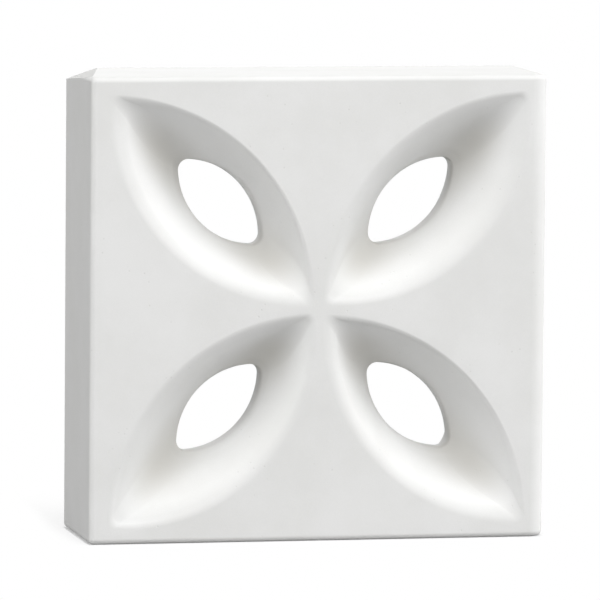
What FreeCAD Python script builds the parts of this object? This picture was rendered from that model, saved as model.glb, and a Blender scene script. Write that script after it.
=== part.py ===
"""Decorative screen block: one square cast block, pierced by four leaf-shaped scoops.

Frame: X across the front, Y from front to back, Z up. The origin is at the middle of the underside,
and the front face looks towards -Y. All sizes are in millimetres.
"""
import FreeCAD, Part
import math
import os

from FreeCAD import Vector

# Block
block_width = 290.0
block_height = 290.0
block_thickness = 90.0
edge_radius = 3.0

# Leaf outline, where a scoop meets the front face, and the soft bevel that straddles it
leaf_margin = 13.2
leaf_gap = 13.8
leaf_width = 78.0
leaf_tip_radius = 4.0
rim_width = 5.0
rim_depth = 2.5

# Hole, at the bottom of the scoop: it lies a little off the leaf's axis, towards the upright middle line
hole_setback = 43.5
hole_shift = 2.0
hole_length = 70.0
hole_width = 35.0
hole_tip_radius = 6.5

# Depths, from the front face, and the flare of the hole towards the back face
scoop_depth = 23.0
land_length = 14.0
back_flare = 13.0
back_bevel = 2.0

# Clipped corner at the back, top and left: it runs out to nothing at the front corner
clip_along_top = 20.0
clip_down_side = 8.0

# Places that follow from the sizes above
front_y = -block_thickness / 2
back_y = block_thickness / 2
lip_y = front_y + scoop_depth
land_end_y = lip_y + land_length
middle_z = block_height / 2


def rounded_block():
    """The plain block with all its edges rounded."""
    corner = Vector(-block_width / 2, front_y, 0)
    block = Part.makeBox(block_width, block_thickness, block_height, corner)
    return block.makeFillet(edge_radius, block.Edges)


def corner_clip():
    """The wedge that is missing from the corner: a pyramid with its point at the front corner."""
    side_x = -block_width / 2
    front_corner = Vector(side_x, front_y, block_height)
    back_corner = Vector(side_x, back_y, block_height)
    on_top = back_corner + Vector(clip_along_top, 0, 0)
    on_side = back_corner - Vector(0, 0, clip_down_side)
    outlines = (
        (front_corner, back_corner, on_top),
        (front_corner, on_side, back_corner),
        (front_corner, on_top, on_side),
        (back_corner, on_side, on_top),
    )
    faces = [Part.Face(Part.makePolygon([*outline, outline[0]])) for outline in outlines]
    return Part.Solid(Part.Shell(faces))


def lens_outline(centre, along, size, grown):
    """A closed lens, grown evenly all round: two long arcs that run into two small tip arcs."""
    length, width, tip_radius = size
    half_length = length / 2 + grown
    half_width = width / 2 + grown
    tip = tip_radius + grown
    across = Vector(-along.z, 0, along.x)
    reach = half_length - tip
    flank_radius = (reach**2 + half_width**2 - tip**2) / (2 * (half_width - tip))
    flank_centre = flank_radius - half_width
    stretch = flank_radius / math.hypot(reach, flank_centre)
    join_along = reach * stretch
    join_across = flank_centre * stretch - flank_centre

    def at(u, v):
        return centre + along * u + across * v

    upper_flank = Part.Arc(at(join_along, join_across), at(0, half_width), at(-join_along, join_across))
    inner_tip = Part.Arc(at(-join_along, join_across), at(-half_length, 0), at(-join_along, -join_across))
    lower_flank = Part.Arc(at(-join_along, -join_across), at(0, -half_width), at(join_along, -join_across))
    outer_tip = Part.Arc(at(join_along, -join_across), at(half_length, 0), at(join_along, join_across))
    return Part.Wire([arc.toShape() for arc in (upper_flank, inner_tip, lower_flank, outer_tip)])


def leaf_cutter(side, rise):
    """One leaf to cut away: bevelled rim, scoop, the straight land of the hole and its flare to the back."""
    inner_tip = Vector(side * leaf_gap / 2, 0, middle_z + rise * leaf_gap / 2)
    outer_tip = Vector(side * (block_width / 2 - leaf_margin), 0, middle_z + rise * (middle_z - leaf_margin))
    along = (outer_tip - inner_tip).normalize()
    towards_middle = Vector(-side * abs(along.z), 0, rise * abs(along.x))
    leaf_centre = (inner_tip + outer_tip) / 2
    leaf_size = (inner_tip.distanceToPoint(outer_tip), leaf_width, leaf_tip_radius)
    hole_centre = inner_tip + along * (hole_setback + hole_length / 2) + towards_middle * hole_shift
    hole_size = (hole_length, hole_width, hole_tip_radius)

    def leaf_at(y, grown):
        return lens_outline(leaf_centre + Vector(0, y, 0), along, leaf_size, grown)

    def hole_at(y, grown):
        return lens_outline(hole_centre + Vector(0, y, 0), along, hole_size, grown)

    sections = [
        leaf_at(front_y, rim_width / 2),
        leaf_at(front_y + rim_depth, -rim_width / 2),
        hole_at(lip_y, 0),
        hole_at(land_end_y, 0),
        hole_at(back_y - back_bevel, back_flare),
        hole_at(back_y, back_flare + back_bevel),
    ]
    return Part.makeLoft(sections, True, True)


def screen_block():
    """The block with its clipped corner and its four leaves."""
    block = rounded_block().cut(corner_clip())
    for side in (-1, 1):
        for rise in (-1, 1):
            block = block.cut(leaf_cutter(side, rise))
    return block


os.makedirs("parts", exist_ok=True)
block = screen_block()
block.exportStep("parts/screen_block.step")
box = block.BoundBox
print("solids", len(block.Solids), "valid", block.isValid(), "litres", round(block.Volume / 1e6, 3))
print("size", round(box.XLength, 3), round(box.YLength, 3), round(box.ZLength, 3))
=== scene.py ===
# %% [markdown]
# # A decorative screen block
# The object is one cast block of white concrete, made to be stacked into a garden screen. Its face has
# four leaf-shaped scoops on the diagonals, and each scoop narrows to a lens-shaped hole that lets light
# through. The CAD model already holds the true sizes. Here the block gets what a mould really gives it:
# soft rims, round valleys, a rounded lip at each hole and a matt surface, with painted shade in its
# colour.

# %% Load the CAD model as the frame
import math

import bmesh
import bpy
from mathutils import Matrix, Vector
from mathutils.geometry import interpolate_bezier


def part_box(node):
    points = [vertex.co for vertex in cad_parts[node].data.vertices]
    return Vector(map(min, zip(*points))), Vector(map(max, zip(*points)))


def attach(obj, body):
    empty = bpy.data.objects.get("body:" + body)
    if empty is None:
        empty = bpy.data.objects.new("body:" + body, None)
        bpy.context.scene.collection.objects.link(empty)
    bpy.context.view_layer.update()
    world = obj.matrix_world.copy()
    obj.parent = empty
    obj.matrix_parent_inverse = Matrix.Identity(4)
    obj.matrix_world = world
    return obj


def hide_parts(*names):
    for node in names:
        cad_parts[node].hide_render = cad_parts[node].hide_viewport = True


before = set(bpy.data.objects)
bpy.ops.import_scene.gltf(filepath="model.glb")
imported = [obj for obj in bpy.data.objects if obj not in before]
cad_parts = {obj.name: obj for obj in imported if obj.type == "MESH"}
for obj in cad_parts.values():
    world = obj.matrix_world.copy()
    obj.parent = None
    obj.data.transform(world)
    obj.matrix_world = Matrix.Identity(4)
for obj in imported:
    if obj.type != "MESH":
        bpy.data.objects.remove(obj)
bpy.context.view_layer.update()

mm = 0.001
low_corner, high_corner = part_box("screen_block")
block_size = high_corner - low_corner
block_middle = (low_corner + high_corner) / 2
half_width, half_depth, half_height = block_size / 2
print("block", [round(side / mm, 1) for side in block_size], "mm")

# %% [markdown]
# ## The body of the block
# A cast block has no sharp arrises: the mould's corners are eased so that the block comes out whole. It
# could be a cube with a Bevel modifier, but here one upright edge is far softer than the others, so the
# bevel operator is used twice: first on that edge alone, then on every edge that is still square. The
# block is built around its own middle, so that the four leaves differ in the signs of their places, and
# is moved into place at the end.

# %% Cube with eased edges
edge_radius = 3.4 * mm
soft_edge_radius = 9.5 * mm
block = bmesh.new()
bmesh.ops.create_cube(block, size=1)
bmesh.ops.scale(block, vec=block_size, verts=block.verts)


def ease_edges(edges, radius, steps):
    """Rounds these edges of the block."""
    bmesh.ops.bevel(block, geom=edges, offset=radius, offset_type="OFFSET", segments=steps,
                    affect="EDGES", profile=0.5, material=-1)


def is_soft_edge(edge):
    """True for the upright edge at the front right."""
    return all(end.co.x > 0 and end.co.y < 0 for end in edge.verts)


ease_edges([edge for edge in block.edges if is_soft_edge(edge)], soft_edge_radius, steps=10)
square_corner = math.radians(60)
square_edges = [edge for edge in block.edges if edge.calc_face_angle(0) > square_corner]
ease_edges(square_edges, edge_radius, steps=6)
print("eased body", len(block.faces), "faces")

# %% [markdown]
# ## The clipped corner
# The back corner at the top left is cut away by a sloping facet that runs out to nothing at the front
# corner. A boolean with a wedge would do it. Bisecting the mesh with a plane is lighter: it cuts, throws
# away what lies beyond the plane, and leaves one open loop to fill. The loop is marked sharp, so that the
# facet stays crisp.

# %% Cut the corner with a plane
clip_along_top = 20 * mm
clip_down_side = 7 * mm
hair = 0.001 * mm
front_corner = Vector((-half_width, -half_depth, half_height))
on_top = Vector((-half_width + clip_along_top, half_depth, half_height))
on_side = Vector((-half_width, half_depth, half_height - clip_down_side))
clip_normal = (on_top - front_corner).cross(on_side - front_corner).normalized()
everything = [*block.verts, *block.edges, *block.faces]
cut = bmesh.ops.bisect_plane(block, geom=everything, plane_co=front_corner, plane_no=clip_normal,
                             dist=hair, clear_outer=True)
cut_edges = [part for part in cut["geom_cut"] if isinstance(part, bmesh.types.BMEdge)]
bmesh.ops.edgeloop_fill(block, edges=cut_edges)
for edge in cut_edges:
    edge.smooth = False
print("clipped corner", len(cut_edges), "edges")

# %% [markdown]
# ## Openings in the front and back
# The leaves need two large openings to grow between. Each flat face is inset first, which leaves a narrow
# flat border: it keeps the shading of the face flat right up to the eased edges. Then its middle is taken
# out.

# %% Open the front and the back
border = 0.5 * mm
same_way = 0.999
frontward = Vector((0, -1, 0))
backward = Vector((0, 1, 0))
opened = []
for facing in (frontward, backward):
    flat_faces = [face for face in block.faces if face.normal.dot(facing) > same_way]
    flat_face = max(flat_faces, key=lambda face: face.calc_area())
    bmesh.ops.inset_region(block, faces=[flat_face], thickness=border, depth=0, use_even_offset=True)
    opened.append(flat_face)
bmesh.ops.delete(block, geom=opened, context="FACES_ONLY")
print("opened the front and back")

# %% [markdown]
# ## The outline of a leaf
# A leaf is a lens: two long arcs that meet in two small, rounded tips. All its cross-sections are lenses
# too, so one helper draws them all. A circle or a curve object could be bent to this shape, but spin does
# it exactly: one point is swept round the tip, then along a flank, round the other tip and back, and the
# ends are merged. Each lens is drawn in a small mesh of its own and then copied to the others, because
# every operator goes through the whole mesh that it works on.

# %% Draw one lens with four spins
flank_steps = 44
tip_steps = 16
lens_mesh = bpy.data.meshes.new("lens")
leaves = bmesh.new()


def flank_pivot(reach, half_breadth, tip_radius):
    """How far a flank's pivot lies past the middle line, and half the angle that the flank turns."""
    flank_radius = (reach**2 + half_breadth**2 - tip_radius**2) / (2 * (half_breadth - tip_radius))
    beyond = flank_radius - half_breadth
    return beyond, math.atan2(reach, beyond)


def lens_ring(centre, along, half_length, left_breadth, right_breadth, tip_radius):
    """Draws a lens, seen with its outer tip ahead, in the mesh of the leaves and returns its edges."""
    leftward = Vector((-along.z, 0, along.x))
    reach = half_length - tip_radius
    left_beyond, left_turn = flank_pivot(reach, left_breadth, tip_radius)
    right_beyond, right_turn = flank_pivot(reach, right_breadth, tip_radius)
    tip_turn = math.pi - left_turn - right_turn
    outer_pivot = centre + along * reach
    inner_pivot = centre - along * reach
    left_pivot = centre - leftward * left_beyond
    right_pivot = centre + leftward * right_beyond
    outline = bmesh.new()
    first = outline.verts.new(outer_pivot + (outer_pivot - right_pivot).normalized() * tip_radius)
    last = first
    for pivot, turn, steps in (
        (outer_pivot, tip_turn, tip_steps),
        (left_pivot, 2 * left_turn, flank_steps),
        (inner_pivot, tip_turn, tip_steps),
        (right_pivot, 2 * right_turn, flank_steps),
    ):
        swept = bmesh.ops.spin(outline, geom=[last], cent=pivot, axis=frontward, angle=turn, steps=steps)
        last = next(part for part in swept["geom_last"] if isinstance(part, bmesh.types.BMVert))
    bmesh.ops.weld_verts(outline, targetmap={last: first})
    outline.to_mesh(lens_mesh)
    outline.free()
    known = len(leaves.edges)
    leaves.from_mesh(lens_mesh)
    leaves.edges.ensure_lookup_table()
    return leaves.edges[known:]


print("a lens has", 2 * (flank_steps + tip_steps), "points")

# %% [markdown]
# ## The section through a leaf
# Seen in section, the surface leaves the face in an eased rim, falls to the hole in a nearly straight
# flank, turns over a rounded lip, runs straight through the neck and flares to the back. Each stretch is
# a Bezier curve, taken in enough steps for the rims to look smooth close up. A point is a pair: how far
# it lies in from the leaf's outline, measured across the middle of the leaf, and how deep it lies behind
# the face.

# %% Stretches of the section
def stretch(start, start_pull, end_pull, end, steps):
    """Points of a Bezier stretch of the section, without its last one."""
    return interpolate_bezier(start, start_pull, end_pull, end, steps + 1)[:-1]


def straight(start, end, steps):
    """Points of a straight stretch of the section, without its last one."""
    return stretch(start, start.lerp(end, 0.3), start.lerp(end, 0.7), end, steps)


def rounded(start, corner, end, fullness, steps):
    """Points of a stretch that rounds a corner, and comes nearer to it the fuller it is."""
    return stretch(start, start.lerp(corner, fullness), end.lerp(corner, fullness), end, steps)


print("a section has straight, rounded and freely curved stretches")

# %% From the rim to the lip
leaf_breadth = 74.5 * mm
hole_breadth = 35 * mm
scoop_run = (leaf_breadth - hole_breadth) / 2
scoop_depth = 23 * mm
flank_pull = 5 * mm
rim_fall = 1.18
rim_softness = 0.8
rim_slope = Vector((1, 1.3)).normalized()
lip = 4.5 * mm
lip_slope = Vector((1, 0.9)).normalized()
lip_corner = Vector((scoop_run, scoop_depth))
lip_start = lip_corner - lip_slope * lip
lip_end = lip_corner + Vector((0, lip))


def scoop_section(rim):
    """The section from the face over a rim of this half width, down the scoop and over the lip."""
    rim_end = Vector((rim, rim * rim_fall))
    rim_pulls = (Vector((rim * (rim_softness - 1), 0)), rim_end - rim_slope * rim * rim_softness)
    points = stretch(Vector((-rim, 0)), *rim_pulls, rim_end, steps=9)
    flank_pulls = (rim_end + rim_slope * flank_pull, lip_start - lip_slope * flank_pull)
    points += stretch(rim_end, *flank_pulls, lip_start, steps=15)
    points += rounded(lip_start, lip_corner, lip_end, fullness=0.6, steps=8)
    return points


print("the flank drops", round(scoop_depth / mm), "mm over", round(scoop_run / mm, 1), "mm")

# %% [markdown]
# ## The neck and the flare
# Behind the lip the hole runs straight for a while, which is the thin dark wall that shows at its edge
# from the front. After that it widens to the back face, so that the block leaves its mould, with an eased
# back rim.

# %% Neck, flare and back rim
land_length = 14 * mm
back_flare = 13 * mm
flare_turn = 3 * mm
back_ease = 2.5 * mm
land_end = Vector((scoop_run, scoop_depth + land_length))
back_rim = Vector((scoop_run - back_flare, 2 * half_depth))
flare_slope = (back_rim - land_end).normalized()
land_turn = land_end - Vector((0, flare_turn))
flare_start = land_end + flare_slope * flare_turn
flare_end = back_rim - flare_slope * back_ease
back_end = back_rim - Vector((back_ease, 0))
neck = straight(lip_end, land_turn, steps=3)
neck += rounded(land_turn, land_end, flare_start, fullness=0.6, steps=5)
neck += straight(flare_start, flare_end, steps=4)
neck += rounded(flare_end, back_rim, back_end, fullness=0.55, steps=6)
neck.append(back_end)
print("neck and flare", len(neck), "points")

# %% [markdown]
# ## The lenses of one leaf
# Between rim and lip the lens changes from the leaf's outline to the hole's: its middle, length and
# breadth change evenly, and its tips swell in between, because the valleys at the two ends of a scoop are
# round. The two leaves that fall to the right have a narrow rim and lean up a little below it. The two
# that rise to the right have a wide, soft rim. All four sag, so that the lower flank is a little fuller
# than the upper one. At the rim the tips reach out further, so that they fade into the face. The holes
# lie a little off the leaves' axes, towards the upright middle line, and all four drift a little up and
# to the right.

# %% One lens for each point of the section
side_margin = 17.5 * mm
top_margin = 15.5 * mm
leaf_gap = 16 * mm
leaf_tip = 5 * mm
hole_setback = 42 * mm
hole_shift = 2 * mm
hole_drift = Vector((1.8 * mm, 0, 1 * mm))
hole_length = 70 * mm
hole_tip = 6.5 * mm
valley_softness = 6 * mm
tip_ease = 6 * mm
falling = {"rim": 2.8 * mm, "lean": 1.2 * mm, "sag": 1 * mm}
rising = {"rim": 5 * mm, "lean": 0, "sag": 2.5 * mm}


def between(start, end, share):
    """The size that lies this share of the way from one size to another."""
    return start + (end - start) * share


def leaf_ring(side, rise, kind, inward, depth):
    """The lens of one leaf at one point of the section."""
    inner_tip = Vector((side, 0, rise)) * leaf_gap / 2
    outer_tip = Vector((side * (half_width - side_margin), 0, rise * (half_height - top_margin)))
    leaf_length = (outer_tip - inner_tip).length
    along = (outer_tip - inner_tip).normalized()
    upward = Vector((-along.z, 0, along.x)) * side
    at_depth = Vector((0, depth - half_depth, 0))
    leaf_centre = (inner_tip + outer_tip) / 2 + at_depth
    off_axis = upward * rise * hole_shift + hole_drift
    hole_centre = inner_tip + along * (hole_setback + hole_length / 2) + off_axis + at_depth
    # In the neck and the flare, the lens is the hole's own, grown evenly all round
    if depth >= scoop_depth:
        grown = scoop_run - inward
        breadth = hole_breadth / 2 + grown
        return lens_ring(hole_centre, along, hole_length / 2 + grown, breadth, breadth, hole_tip + grown)
    # In the scoop, it passes from the leaf's outline to the hole's, and its tips swell most half way
    share = min(inward / scoop_run, 1)
    sag = side * kind["sag"] * (1 - share)
    below_rim = min(inward / kind["rim"], (scoop_run - inward) / (scoop_run - kind["rim"]))
    lean = upward * kind["lean"] * below_rim
    breadth = between(leaf_breadth, hole_breadth, share) / 2
    scooped = max(share, 0)
    swell = valley_softness * 4 * scooped * (1 - scooped)
    tips_out = tip_ease * max(-inward / kind["rim"], 0)
    half_length = between(leaf_length, hole_length, scooped) / 2 + tips_out
    centre = leaf_centre.lerp(hole_centre, scooped) + lean
    tip = between(leaf_tip, hole_tip, scooped) + swell
    return lens_ring(centre, along, half_length, breadth - sag, breadth + sag, tip)


print("hole", round(hole_length / mm), "by", round(hole_breadth / mm), "mm")

# %% [markdown]
# ## Four leaves
# The wall of a leaf is a stack of lenses, one for each point of the section, bridged one to the next.
# Mirroring one leaf would give the other three, but they come in two kinds and all sag downwards, so each
# is stacked by itself.

# %% Stack the lenses and bridge them
for side in (-1, 1):
    for rise in (-1, 1):
        kind = rising if side == rise else falling
        section = scoop_section(kind["rim"]) + neck
        ring = leaf_ring(side, rise, kind, *section[0])
        for inward, depth in section[1:]:
            next_ring = leaf_ring(side, rise, kind, inward, depth)
            bmesh.ops.bridge_loops(leaves, edges=ring + next_ring)
            ring = next_ring
leaves.to_mesh(lens_mesh)
leaves.free()
block.from_mesh(lens_mesh)
bpy.data.meshes.remove(lens_mesh)
print("four leaves", len(block.faces), "faces in all")

# %% [markdown]
# ## The flat faces
# What is left open is a flat frame round four leaves, at the front and at the back. Triangle fill closes
# a flat area with holes in it. Then all faces are turned outwards, and the block goes to its place on the
# floor.

# %% Fill the faces and finish the mesh
def is_open_rim(edge, face_y):
    """True for an open edge that lies in the plane of the front or back face."""
    return edge.is_boundary and all(abs(end.co.y - face_y) < 10 * hair for end in edge.verts)


for facing in (frontward, backward):
    rims = [edge for edge in block.edges if is_open_rim(edge, facing.y * half_depth)]
    bmesh.ops.triangle_fill(block, edges=rims, use_beauty=True, use_dissolve=False, normal=facing)
bmesh.ops.remove_doubles(block, verts=block.verts, dist=hair)
bmesh.ops.recalc_face_normals(block, faces=block.faces)
for face in block.faces:
    face.smooth = True
bmesh.ops.translate(block, vec=block_middle, verts=block.verts)
open_edges = sum(not edge.is_manifold for edge in block.edges)
litre = 0.001
print("closed mesh, open edges", open_edges, "litres", round(block.calc_volume() / litre, 2))

# %% Make the object
block_mesh = bpy.data.meshes.new("screen_block_cast")
block.to_mesh(block_mesh)
block.free()
cast_block = bpy.data.objects.new("screen_block_cast", block_mesh)
bpy.context.scene.collection.objects.link(cast_block)
even_shading = cast_block.modifiers.new("even_shading", "WEIGHTED_NORMAL")
even_shading.keep_sharp = True
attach(cast_block, "root")
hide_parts("screen_block")
print("block mesh", len(block_mesh.polygons), "faces")

# %% [markdown]
# ## The finish of the concrete
# White cement gives a matt, nearly white surface. Close up it is not even: there is faint clouding from
# the mix, a fine sandy grain, and small pinholes where air was trapped against the mould. An image
# texture would show all this at one size only, so noise and cell patterns on Object coordinates are used,
# each at its true scale. The helpers put their nodes into the material that is being made at the time.

# %% Helpers for shader nodes
white_cement = bpy.data.materials.new("white_cast_concrete")
white_cement.use_nodes = True
nodes = white_cement.node_tree.nodes
links = white_cement.node_tree.links
concrete = nodes["Principled BSDF"]
place = nodes.new("ShaderNodeTexCoord")


def noise(scale, detail, roughness):
    """A noise pattern on the block, with this many cells to the metre."""
    pattern = nodes.new("ShaderNodeTexNoise")
    pattern.inputs["Scale"].default_value = scale
    pattern.inputs["Detail"].default_value = detail
    pattern.inputs["Roughness"].default_value = roughness
    links.new(place.outputs["Object"], pattern.inputs["Vector"])
    return pattern.outputs["Fac"]


def remap(value, low, high, to_low, to_high):
    """Stretches a pattern between two levels to a new range, with soft ends."""
    node = nodes.new("ShaderNodeMapRange")
    node.interpolation_type = "SMOOTHSTEP"
    for name, number in (("From Min", low), ("From Max", high), ("To Min", to_low), ("To Max", to_high)):
        node.inputs[name].default_value = number
    links.new(value, node.inputs["Value"])
    return node.outputs["Result"]


def combine(operation, first, second):
    """The result of one operation on two patterns, or on a pattern and a number."""
    node = nodes.new("ShaderNodeMath")
    node.operation = operation
    for socket, value in zip(node.inputs, (first, second)):
        if isinstance(value, (int, float)):
            socket.default_value = value
        else:
            links.new(value, socket)
    return node.outputs["Value"]


def lay_over(base, colour, mask):
    """Lays a colour over another colour or a pattern, as far as the mask lets it through."""
    layer = nodes.new("ShaderNodeMix")
    layer.data_type = "RGBA"
    layer.inputs["B"].default_value = colour
    links.new(mask, layer.inputs["Factor"])
    if isinstance(base, tuple):
        layer.inputs["A"].default_value = base
    else:
        links.new(base, layer.inputs["A"])
    return layer.outputs["Result"]


print("concrete material started")

# %% [markdown]
# ## Pinholes
# Trapped air leaves round pits of about a millimetre, a few in some places and none in others. A cell
# pattern has one point to a cell, and its distance makes a round spot. A coarse noise then lets the spots
# through in some places only, so that they don't look printed.

# %% Pits from a cell pattern
cells_per_metre = 170
pit_middle = 0.05
pit_edge = 0.13
patch_starts = 0.52
patch_full = 0.62
cells = nodes.new("ShaderNodeTexVoronoi")
cells.inputs["Scale"].default_value = cells_per_metre
links.new(place.outputs["Object"], cells.inputs["Vector"])
spots = remap(cells.outputs["Distance"], pit_middle, pit_edge, 1, 0)
patches = noise(scale=38, detail=2, roughness=0.5)
where_pitted = remap(patches, patch_starts, patch_full, 0, 1)
pits = combine("MULTIPLY", spots, where_pitted)
print("pinholes about", round((pit_middle + pit_edge) / cells_per_metre / mm, 1), "mm wide")

# %% [markdown]
# ## Painted shade on the cut face
# The facet of the clipped corner is given a darker grey: painted shade, which makes it darker than the
# top beside it. It could be a second material on that face, but a mask is lighter: the distance of a
# point from the plane of the cut is a dot product, and only the points on the plane itself, to a fraction
# of a millimetre, take the darker grey.

# %% Mask of the painted shade on the cut plane
mask_starts = 0.25 * mm
mask_full = 0.05 * mm
from_plane = nodes.new("ShaderNodeVectorMath")
from_plane.operation = "DOT_PRODUCT"
from_plane.inputs[1].default_value = clip_normal
links.new(place.outputs["Object"], from_plane.inputs[0])
plane_at = clip_normal.dot(front_corner + block_middle)
# Painted shade: the mask of the darker grey on the cut facet
painted_cut_shade = remap(from_plane.outputs["Value"], plane_at - mask_starts, plane_at - mask_full, 0, 1)
print("cut plane", round(plane_at / mm), "mm from the origin")

# %% [markdown]
# ## Painted shade in the valleys
# Where the two flanks of a scoop meet, at the ends of each hole, the colour is made a warmer, darker
# grey:
# this is painted shade for the valleys. It could be painted by hand on the mesh. Here it follows from the
# shape: the valleys lie on the two diagonals, where the way sideways and the way up from the middle are
# the same. The painted shade starts just behind the face and thins out again in the neck.

# %% Mask of the painted shade in the valleys
valley_shade_breadth = 24 * mm
valley_shade_starts = 3 * mm
valley_shade_full = 18 * mm
valley_shade_thins = 24 * mm
valley_shade_ends = 34 * mm
leaves_end = 130 * mm
sides_near = 138 * mm
where = nodes.new("ShaderNodeSeparateXYZ")
links.new(place.outputs["Object"], where.inputs["Vector"])
sideways = combine("ABSOLUTE", where.outputs["X"], 0)
upward = combine("ABSOLUTE", combine("SUBTRACT", where.outputs["Z"], half_height), 0)
off_diagonal = combine("ABSOLUTE", combine("SUBTRACT", sideways, upward), 0)
in_valley = remap(off_diagonal, 0, valley_shade_breadth * math.sqrt(2), 1, 0)
below_face = remap(where.outputs["Y"], valley_shade_starts - half_depth, valley_shade_full - half_depth, 0, 1)
before_neck = remap(where.outputs["Y"], valley_shade_thins - half_depth, valley_shade_ends - half_depth, 1, 0)
off_sides = remap(combine("MAXIMUM", sideways, upward), leaves_end, sides_near, 1, 0)
scooped = combine("MULTIPLY", below_face, before_neck)
# Painted shade: the mask of the darker, warmer grey in the valleys
painted_valley_shade = combine("MULTIPLY", combine("MULTIPLY", in_valley, off_sides), scooped)
print("painted_valley_shade", round(valley_shade_breadth / mm), "mm to each side of the diagonals")

# %% [markdown]
# ## Colour, roughness and grain
# The colour moves by only a few hundredths round a light grey, a touch darker than the plain white of the
# record, and is greyer where the mix was wetter. Painted shade darkens it in the pits, in the valleys and
# on the cut face. Each of these is a layer over the one before. The grain and the pits go into one height
# for a Bump node, because they are far too small to model, and the same clouding makes the surface a
# touch smoother in places.

# %% Colour of the concrete
clouding = noise(scale=16, detail=4, roughness=0.55)
grain = noise(scale=1100, detail=3, roughness=0.6)
cloud_share = 0.8
cloudy = combine("MULTIPLY", clouding, cloud_share)
sandy = combine("MULTIPLY", grain, 1 - cloud_share)
mottle = combine("ADD", cloudy, sandy)
mottle_low = 0.32
mottle_high = 0.68
wet_grey = (0.72, 0.72, 0.708, 1)
dry_grey = (0.768, 0.768, 0.761, 1)
pit_shade_grey = (0.6, 0.6, 0.585, 1)
valley_shade_grey = (0.61, 0.6, 0.57, 1)
cut_shade_grey = (0.52, 0.52, 0.51, 1)
pit_shade_strength = 0.4
colour = lay_over(wet_grey, dry_grey, remap(mottle, mottle_low, mottle_high, 0, 1))
# Painted shade: the pinholes are made darker in the colour
colour = lay_over(colour, pit_shade_grey, combine("MULTIPLY", pits, pit_shade_strength))
# Painted shade: the valleys are made a darker, warmer grey
colour = lay_over(colour, valley_shade_grey, painted_valley_shade)
# Painted shade: the cut facet is made a darker grey
colour = lay_over(colour, cut_shade_grey, painted_cut_shade)
links.new(colour, concrete.inputs["Base Color"])
print("concrete colour from", wet_grey[:3], "to", dry_grey[:3])

# %% Roughness and relief of the concrete
cloud_low = 0.3
cloud_high = 0.7
least_rough = 0.84
most_rough = 0.94
grain_height = 0.25
roughness = remap(clouding, cloud_low, cloud_high, least_rough, most_rough)
links.new(roughness, concrete.inputs["Roughness"])
concrete.inputs["Specular IOR Level"].default_value = 0.25
height = combine("SUBTRACT", combine("MULTIPLY", grain, grain_height), pits)
relief = nodes.new("ShaderNodeBump")
relief.inputs["Strength"].default_value = 0.35
relief.inputs["Distance"].default_value = 0.3 * mm
links.new(height, relief.inputs["Height"])
links.new(relief.outputs["Normal"], concrete.inputs["Normal"])
block_mesh.materials.append(white_cement)
print("concrete material", len(nodes), "nodes")

# %% [markdown]
# ## The floor
# The block stands on a plain white floor that runs out into a white surround. A floor lit to pure white
# would need too much light for the block, so the camera sees a white of strength 1 everywhere except near
# the block, where the lit floor with its shadow shows through. The shadow is narrow beside the block and
# long behind it, because most light comes from the front, and a thin line shows where the block touches
# the floor. To the light the floor is a darker grey, because the undersides of the leaves are dark in the
# photograph.

# %% White floor with a soft shadow
floor_radius = 3
floor_mesh = bpy.data.meshes.new("floor")
floor_shape = bmesh.new()
bmesh.ops.create_circle(floor_shape, cap_ends=True, segments=96, radius=floor_radius)
floor_shape.to_mesh(floor_mesh)
floor_shape.free()
floor = bpy.data.objects.new("floor", floor_mesh)
bpy.context.scene.collection.objects.link(floor)
floor_paint = bpy.data.materials.new("white_floor")
floor_paint.use_nodes = True
floor_mesh.materials.append(floor_paint)
nodes = floor_paint.node_tree.nodes
links = floor_paint.node_tree.links
paint = nodes["Principled BSDF"]
paint.inputs["Roughness"].default_value = 1
paint.inputs["Specular IOR Level"].default_value = 0
print("floor", len(floor_mesh.polygons), "face")

# %% Fade from the lit floor to white
shadow_width = 15 * mm
shadow_length = 190 * mm
shadow_whiteness = 0.78
contact_width = 0.8 * mm
contact_whiteness = 0.45
place = nodes.new("ShaderNodeTexCoord")
white = nodes.new("ShaderNodeEmission")
where = nodes.new("ShaderNodeSeparateXYZ")
links.new(place.outputs["Object"], where.inputs["Vector"])
sideways = combine("SUBTRACT", combine("ABSOLUTE", where.outputs["X"], 0), half_width)
in_front = combine("SUBTRACT", combine("MULTIPLY", where.outputs["Y"], -1), half_depth)
behind = combine("SUBTRACT", where.outputs["Y"], half_depth)
shortened = combine("MULTIPLY", behind, shadow_width / shadow_length)


def off_the_block(distance_behind):
    """How far a point of the floor lies outside the block's footprint."""
    lengthways = combine("MAXIMUM", in_front, distance_behind)
    return combine("ADD", combine("MAXIMUM", sideways, 0), combine("MAXIMUM", lengthways, 0))


def in_view():
    """1 for what the camera sees, also in gloss and through glass, and 0 for light on its way."""
    seen = nodes.new("ShaderNodeLightPath")
    looked_at = combine("MAXIMUM", seen.outputs["Is Camera Ray"], seen.outputs["Is Glossy Ray"])
    return combine("MAXIMUM", looked_at, seen.outputs["Is Transmission Ray"])


floor_to_light = (0.3, 0.3, 0.3, 1)
floor_to_camera = (0.85, 0.85, 0.85, 1)
fading = remap(off_the_block(shortened), 0, shadow_width, shadow_whiteness, 1)
touching = remap(off_the_block(behind), 0, contact_width, contact_whiteness, 1)
whiteness = combine("MULTIPLY", fading, touching)
to_camera = in_view()
links.new(lay_over(floor_to_light, floor_to_camera, to_camera), paint.inputs["Base Color"])
floor_look = nodes.new("ShaderNodeMixShader")
links.new(combine("MULTIPLY", whiteness, to_camera), floor_look.inputs["Fac"])
links.new(paint.outputs["BSDF"], floor_look.inputs[1])
links.new(white.outputs["Emission"], floor_look.inputs[2])
links.new(floor_look.outputs["Shader"], nodes["Material Output"].inputs["Surface"])
print("floor fades to white")

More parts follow.
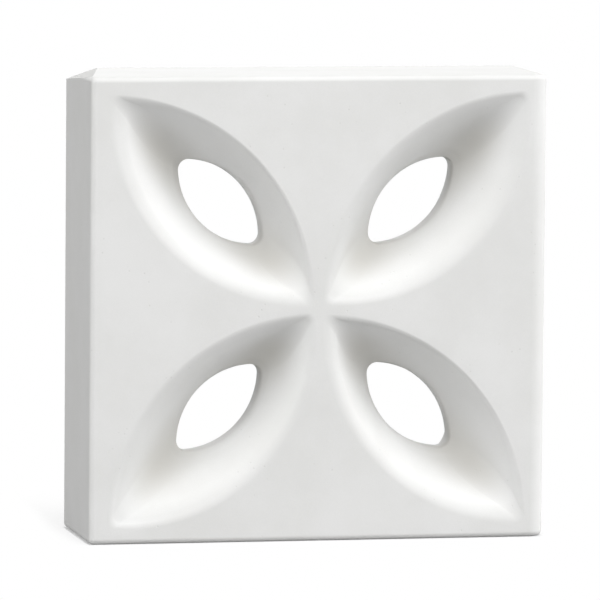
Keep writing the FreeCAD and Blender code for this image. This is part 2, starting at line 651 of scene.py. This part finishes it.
# %% [markdown]
# ## The surround
# Past the edge of the floor the camera meets the world. It is white to the camera and dark to the block,
# so that all the light on the block comes from the lamps and the floor, and the lamps' direction and size
# can be set.

# %% White world for the camera only
surround = bpy.data.worlds.new("white_surround")
surround.use_nodes = True
bpy.context.scene.world = surround
nodes = surround.node_tree.nodes
links = surround.node_tree.links
backdrop = nodes["Background"]
backdrop.inputs["Color"].default_value = (1, 1, 1, 1)
links.new(in_view(), backdrop.inputs["Strength"])
print("white surround")

# %% [markdown]
# ## The light
# The photograph was lit softly from above, with one large light low on the right and a weaker one low on
# the left: the top is nearly white, the flanks that face right are bright, and the left side is grey.
# Large round area lamps, some metres off, stand in for the softboxes. One that stands just past the right
# side grazes the soft right edge, which is bright in the photograph, and one low behind the block lights
# its back. Each is given by its bearing, its height in degrees and its level. At a level of 1 a surface
# that faces the lamp shows its own colour.

# %% Softboxes round the block
lamp_distance = 6
lamp_size = 3.5
full_power = math.pi**2 * lamp_distance**2
softboxes = {
    "low_left": (-75, 12, 0.4),
    "low_front": (0, 12, 0.36),
    "low_right": (75, 12, 0.62),
    "high_front": (0, 66, 0.74),
    "overhead": (0, 85, 0.07),
    "right_edge": (105, 8, 0.27),
    "behind": (180, 8, 0.85),
}
for name, (bearing, height_angle, level) in softboxes.items():
    lamp = bpy.data.lights.new(name, "AREA")
    lamp.shape = "DISK"
    lamp.size = lamp_size
    lamp.energy = full_power * level
    softbox = bpy.data.objects.new(name, lamp)
    bpy.context.scene.collection.objects.link(softbox)
    tilt = Matrix.Rotation(math.radians(90 - height_angle), 3, "X")
    swing = Matrix.Rotation(math.radians(bearing), 3, "Z") @ tilt
    softbox.location = block_middle + swing @ Vector((0, 0, lamp_distance))
    softbox.rotation_euler = swing.to_euler()
print("softboxes", len(softboxes))

# %% [markdown]
# ## The camera
# The picture is taken from far off with a long lens, a little to the left of the block and a little above
# it. The angles were fitted to the corners of the block in the photograph.

# %% Long lens from the left
yaw = math.radians(12.1)
pitch = math.radians(5.6)
roll = math.radians(0.47)
aim = Vector((-12.8 * mm, -half_depth, 150.9 * mm))
camera_distance = 4.586
view = bpy.data.cameras.new("camera")
view.sensor_width = 36
view.lens = 443.6
view.clip_end = 50
camera = bpy.data.objects.new("camera", view)
bpy.context.scene.collection.objects.link(camera)
turned = (Matrix.Rotation(-yaw, 3, "Z") @ Matrix.Rotation(math.pi / 2 - pitch, 3, "X")
          @ Matrix.Rotation(roll, 3, "Z"))
camera.rotation_euler = turned.to_euler()
camera.location = aim + turned @ Vector((0, 0, camera_distance))
bpy.context.scene.camera = camera
bpy.context.scene.view_settings.view_transform = "Standard"
print("camera at", [round(part, 2) for part in camera.location])
